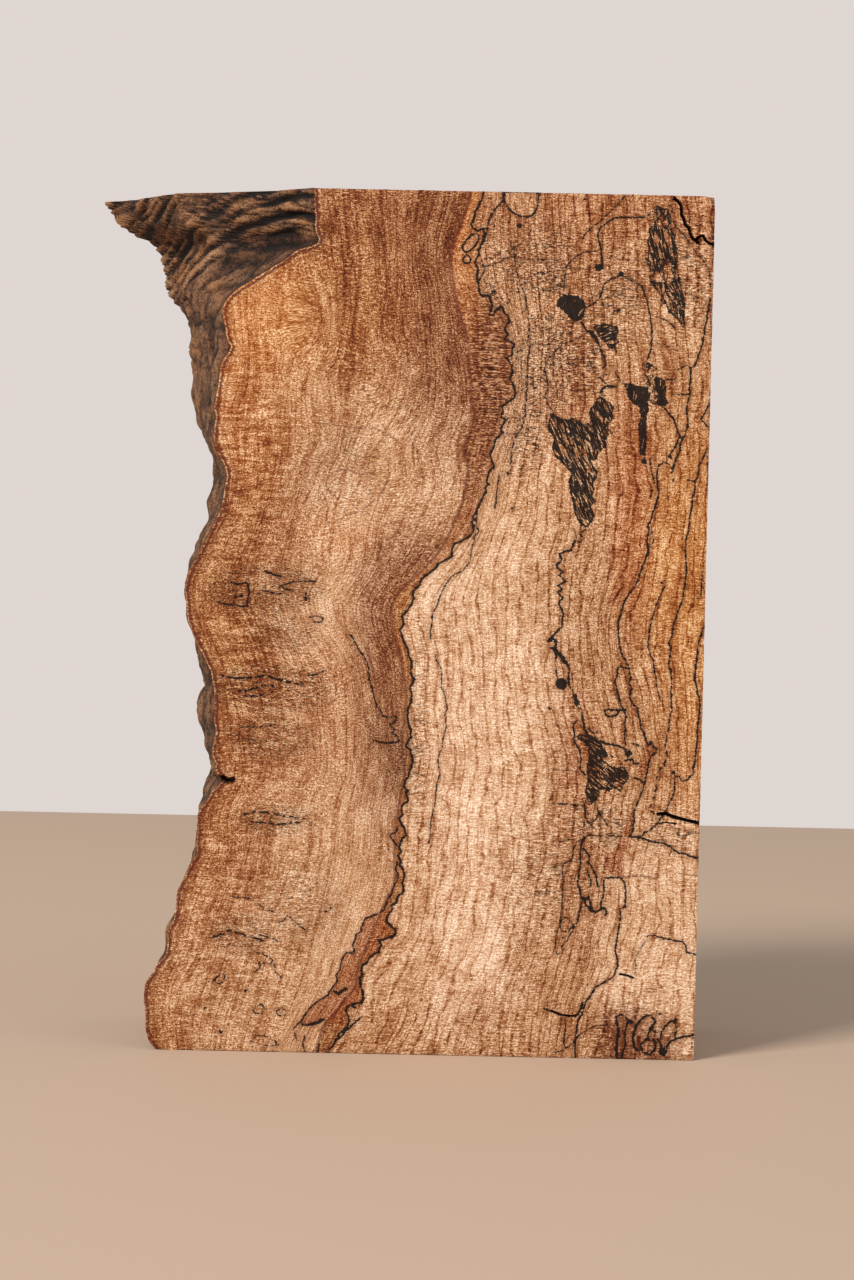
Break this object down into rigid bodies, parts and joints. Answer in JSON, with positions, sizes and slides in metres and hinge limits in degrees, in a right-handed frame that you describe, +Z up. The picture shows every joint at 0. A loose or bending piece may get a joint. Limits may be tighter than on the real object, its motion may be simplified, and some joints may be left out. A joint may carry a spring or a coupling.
{
  "type": "live-edge maple burl block",
  "caption": "Sawn block of spalted maple burl standing on its foot, with one live edge of fluted bark ending in a pointed horn.",
  "frame": {"origin": "middle of the bounding box at the sawn foot", "axes": "+Z up along the grain, -Y out of the figured front face, -X towards the live edge"},
  "size_m": [0.254, 0.08, 0.35],
  "materials": {
    "spalted_maple": "freshly sawn and lightly sanded, dry, matt to satin, with dark zone lines; rough brown-black bark on the live edge"
  },
  "bodies": {
    "root": {"maple_burl": "spalted_maple"}
  },
  "joints": []
}
